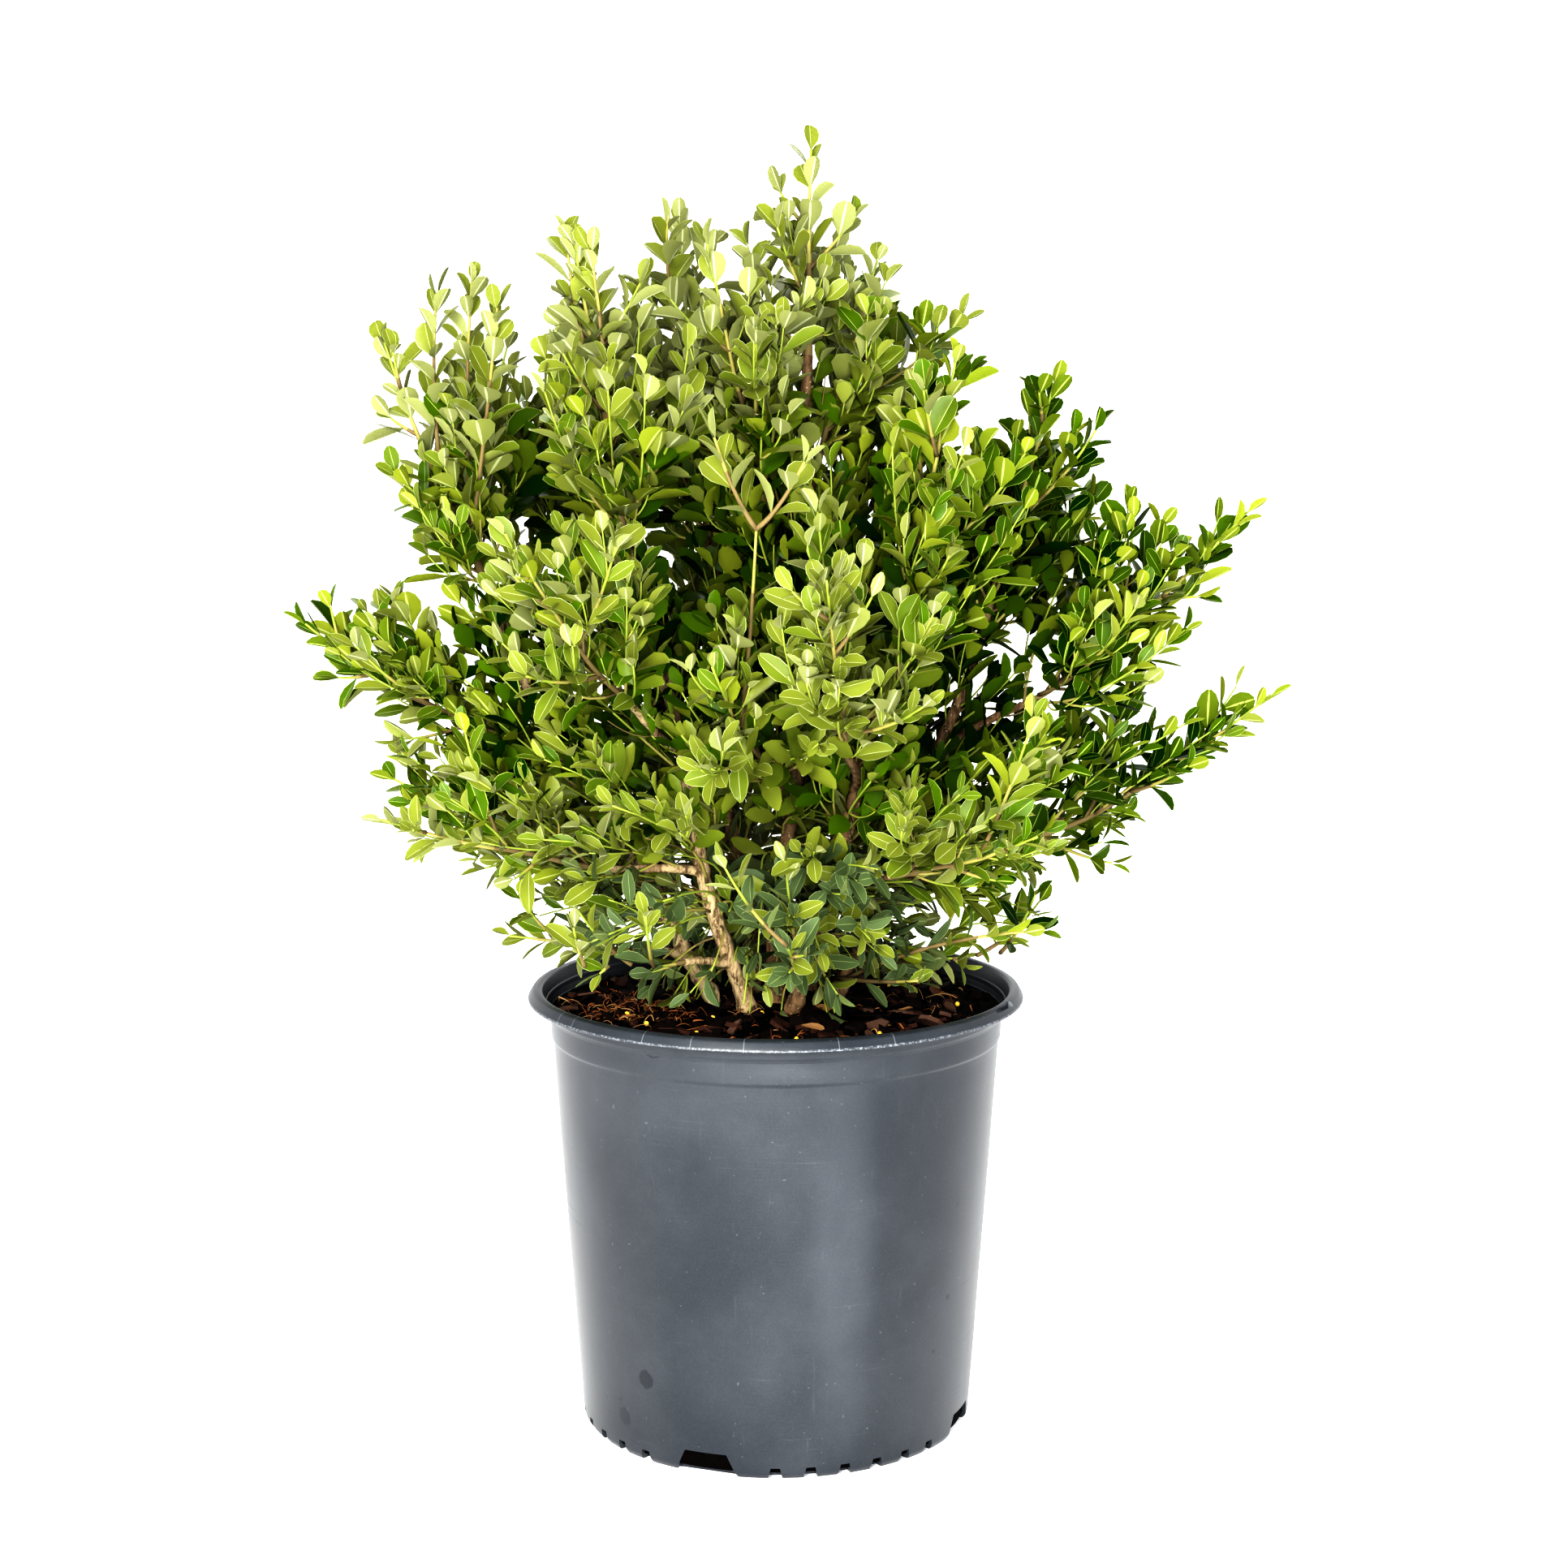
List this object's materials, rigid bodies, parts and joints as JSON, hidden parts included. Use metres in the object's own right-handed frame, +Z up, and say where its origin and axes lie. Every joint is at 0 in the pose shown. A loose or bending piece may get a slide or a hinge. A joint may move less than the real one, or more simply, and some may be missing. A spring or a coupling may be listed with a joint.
{
  "type": "potted boxwood shrub",
  "caption": "Bushy evergreen boxwood shrub with small oval leaves, rising from soil in a round dark nursery pot with drain openings at its base.",
  "frame": {"origin": "centre of the flat underside of the pot", "axes": "+Z up the pot's axis, -Y towards the front of the plant, +X to its right"},
  "size_m": [0.5599, 0.4802, 0.7338],
  "materials": {
    "pot": "satin moulded plastic, scuffed and dusty",
    "soil": "rough moist bark mulch",
    "bark": "dry tan bark with fine ridges",
    "foliage": "waxy green leaves, yellow-green where young"
  },
  "bodies": {
    "root": {"bough_back_left_back": "bark", "bough_back_left_foot": "bark", "bough_back_left_low": "bark", "bough_back_left_mid": "bark", "bough_back_right_foot": "bark", "bough_back_right_low": "bark", "bough_back_right_mid": "bark", "bough_front_left_foot": "bark", "bough_front_left_low": "bark", "bough_front_left_mid": "bark", "bough_front_right_foot": "bark", "bough_front_right_low": "bark", "bough_front_right_mid": "bark", "bough_left_foot": "bark", "bough_left_low": "bark", "bough_left_mid": "bark", "bough_middle_front": "bark", "bough_middle_left": "bark", "bough_middle_right": "bark", "bough_right_foot": "bark", "bough_right_low": "bark", "bough_right_mid": "bark", "foliage_back_left_back": "foliage", "foliage_back_left_foot": "foliage", "foliage_back_left_high": "foliage", "foliage_back_left_low": "foliage", "foliage_back_left_mid": "foliage", "foliage_back_right_foot": "foliage", "foliage_back_right_high": "foliage", "foliage_back_right_low": "foliage", "foliage_back_right_mid": "foliage", "foliage_front_left_foot": "foliage", "foliage_front_left_high": "foliage", "foliage_front_left_low": "foliage", "foliage_front_left_mid": "foliage", "foliage_front_right_foot": "foliage", "foliage_front_right_high": "foliage", "foliage_front_right_low": "foliage", "foliage_front_right_mid": "foliage", "foliage_left_foot": "foliage", "foliage_left_high": "foliage", "foliage_left_low": "foliage", "foliage_left_mid": "foliage", "foliage_middle_front": "foliage", "foliage_middle_left": "foliage", "foliage_middle_right": "foliage", "foliage_middle_top": "foliage", "foliage_right_foot": "foliage", "foliage_right_high": "foliage", "foliage_right_low": "foliage", "foliage_right_mid": "foliage", "pot": "pot", "soil": "soil", "stem_back_left": "bark", "stem_back_right": "bark", "stem_front_left": "bark", "stem_front_right": "bark", "stem_left": "bark", "stem_middle": "bark", "stem_right": "bark"}
  },
  "joints": []
}
